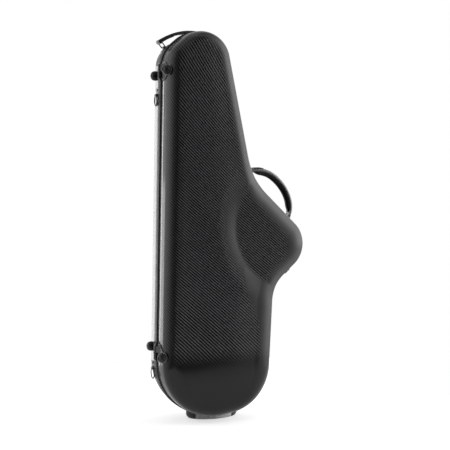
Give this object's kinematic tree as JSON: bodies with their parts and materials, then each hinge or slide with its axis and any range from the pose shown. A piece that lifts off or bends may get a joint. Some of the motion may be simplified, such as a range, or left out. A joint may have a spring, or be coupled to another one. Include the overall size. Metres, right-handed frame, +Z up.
{
  "type": "tenor saxophone case",
  "caption": "Contoured hard case for a tenor saxophone: hinged lid on a deeper tray, edge bands, draw latches, carry handles, strap rings, rubber bumpers and a flat foot.",
  "frame": {"origin": "middle of the foot's flat underside", "axes": "+Z up along the standing case, +X towards the bell side seen from the lid, +Y from the lid towards the tray's back"},
  "size_m": [0.3599, 0.1952, 0.8618],
  "materials": {
    "band_grey": "satin",
    "dark_metal": "satin",
    "foot_grey": "matte",
    "leather_black": "satin",
    "plush": "matte",
    "rubber_black": "matte",
    "shell_black": "satin",
    "steel": "satin"
  },
  "bodies": {
    "tray": {"bell_latch_base": "dark_metal", "body_strap": "plush", "bow_block": "plush", "foot_pad_left": "rubber_black", "foot_pad_right": "rubber_black", "foot_plate": "foot_grey", "lower_hinge_pin": "dark_metal", "lower_hinge_tray_leaf": "dark_metal", "lower_latch_base": "dark_metal", "lower_left_strap_bracket": "dark_metal", "lower_right_strap_bracket": "dark_metal", "lower_tray_bumper": "rubber_black", "lower_tray_bumper_washer": "steel", "rim_seal": "rubber_black", "side_handle_lower_bracket": "dark_metal", "side_handle_lower_pin": "steel", "side_handle_upper_bracket": "dark_metal", "side_handle_upper_pin": "steel", "top_handle_left_bracket": "dark_metal", "top_handle_right_bracket": "dark_metal", "tray_band": "band_grey", "tray_liner": "plush", "tray_shell": "shell_black", "upper_hinge_pin": "dark_metal", "upper_hinge_tray_leaf": "dark_metal", "upper_latch_base": "dark_metal", "upper_left_strap_bracket": "dark_metal", "upper_right_strap_bracket": "dark_metal", "upper_tray_bumper": "rubber_black", "upper_tray_bumper_washer": "steel"},
    "lid": {"bell_latch_keeper": "steel", "lid_frame": "band_grey", "lid_liner": "plush", "lid_shell": "shell_black", "lower_hinge_lid_leaf": "dark_metal", "lower_latch_keeper": "steel", "lower_lid_bumper": "rubber_black", "lower_lid_bumper_washer": "steel", "upper_hinge_lid_leaf": "dark_metal", "upper_latch_keeper": "steel", "upper_lid_bumper": "rubber_black", "upper_lid_bumper_washer": "steel"},
    "side_handle": {"side_handle_strap": "leather_black", "side_handle_grip": "rubber_black"},
    "bell_latch_bail": {"bell_latch_bail": "steel"},
    "bell_latch_lever": {"bell_latch_lever": "dark_metal"},
    "lower_latch_bail": {"lower_latch_bail": "steel"},
    "lower_latch_lever": {"lower_latch_lever": "dark_metal"},
    "lower_left_strap_ring": {"lower_left_strap_ring": "steel"},
    "lower_right_strap_ring": {"lower_right_strap_ring": "steel"},
    "top_handle_left_ring": {"top_handle_left_ring": "steel"},
    "top_handle_right_ring": {"top_handle_right_ring": "steel"},
    "top_handle_strap": {"top_handle_strap": "leather_black"},
    "upper_latch_bail": {"upper_latch_bail": "steel"},
    "upper_latch_lever": {"upper_latch_lever": "dark_metal"},
    "upper_left_strap_ring": {"upper_left_strap_ring": "steel"},
    "upper_right_strap_ring": {"upper_right_strap_ring": "steel"}
  },
  "joints": [
    {"name": "lid_hinge", "type": "hinge", "parent": "tray", "child": "lid", "pos_m": [-0.13917, -0.0115, 0.15563], "axis": [-0.0195, 0, -0.9998], "range_deg": [0, 115]},
    {"name": "upper_latch_lever_hinge", "type": "hinge", "parent": "tray", "child": "upper_latch_lever", "pos_m": [0.04507, -0.002, 0.73632], "axis": [0.2014, 0, -0.9795], "range_deg": [0, 140]},
    {"name": "upper_latch_bail_hinge", "type": "hinge", "parent": "upper_latch_lever", "child": "upper_latch_bail", "pos_m": [0.04409, 0.006, 0.73612], "axis": [0.2014, 0, -0.9795], "range_deg": [-140, 0]},
    {"name": "bell_latch_lever_hinge", "type": "hinge", "parent": "tray", "child": "bell_latch_lever", "pos_m": [0.17639, -0.002, 0.32413], "axis": [-0.7486, 0, -0.663], "range_deg": [0, 140]},
    {"name": "bell_latch_bail_hinge", "type": "hinge", "parent": "bell_latch_lever", "child": "bell_latch_bail", "pos_m": [0.17573, 0.006, 0.32488], "axis": [-0.7486, 0, -0.663], "range_deg": [-140, 0]},
    {"name": "lower_latch_lever_hinge", "type": "hinge", "parent": "tray", "child": "lower_latch_lever", "pos_m": [0.13414, -0.002, 0.20966], "axis": [-0.0521, 0, -0.9986], "range_deg": [0, 140]},
    {"name": "lower_latch_bail_hinge", "type": "hinge", "parent": "lower_latch_lever", "child": "lower_latch_bail", "pos_m": [0.13314, 0.006, 0.20971], "axis": [-0.0521, 0, -0.9986], "range_deg": [-140, 0]},
    {"name": "upper_left_strap_ring_swing", "type": "hinge", "parent": "tray", "child": "upper_left_strap_ring", "pos_m": [-0.12462, 0.01862, 0.71905], "axis": [0.033, 0.9995, -0.0006], "range_deg": [0, 110]},
    {"name": "lower_left_strap_ring_swing", "type": "hinge", "parent": "tray", "child": "lower_left_strap_ring", "pos_m": [-0.13526, 0.01862, 0.11556], "axis": [0.0326, 0.9995, 0.0047], "range_deg": [0, 110]},
    {"name": "upper_right_strap_ring_swing", "type": "hinge", "parent": "tray", "child": "upper_right_strap_ring", "pos_m": [0.05736, 0.01862, 0.6585], "axis": [0.0323, -0.9995, 0.0066], "range_deg": [0, 110]},
    {"name": "lower_right_strap_ring_swing", "type": "hinge", "parent": "tray", "child": "lower_right_strap_ring", "pos_m": [0.12754, 0.01862, 0.15283], "axis": [0.0329, -0.9995, -0.0017], "range_deg": [0, 110]},
    {"name": "top_handle_left_ring_swing", "type": "hinge", "parent": "tray", "child": "top_handle_left_ring", "pos_m": [-0.10591, 0.02062, 0.82447], "axis": [0, 1, 0], "range_deg": [-6, 6]},
    {"name": "top_handle_strap_turn", "type": "hinge", "parent": "top_handle_left_ring", "child": "top_handle_strap", "pos_m": [-0.11666, 0.02062, 0.83633], "axis": [0, 1, 0], "range_deg": [-5.61, 5.61]},
    {"name": "top_handle_right_ring_swing", "type": "hinge", "parent": "tray", "child": "top_handle_right_ring", "pos_m": [0.01822, 0.02062, 0.82797], "axis": [0, 1, 0], "range_deg": [-4.78, 4.78]},
    {"name": "side_handle_hinge", "type": "hinge", "parent": "tray", "child": "side_handle", "pos_m": [0.14538, 0.022, 0.49614], "axis": [0.6832, 0, -0.7302], "range_deg": [-70, 70]}
  ],
  "couplings": [
    {"joint": "upper_latch_bail_hinge", "follows": "upper_latch_lever_hinge", "ratio": -1},
    {"joint": "bell_latch_bail_hinge", "follows": "bell_latch_lever_hinge", "ratio": -1},
    {"joint": "lower_latch_bail_hinge", "follows": "lower_latch_lever_hinge", "ratio": -1},
    {"joint": "top_handle_strap_turn", "follows": "top_handle_left_ring_swing", "ratio": -0.91697},
    {"joint": "top_handle_right_ring_swing", "follows": "top_handle_left_ring_swing", "ratio": 0.78127}
  ]
}
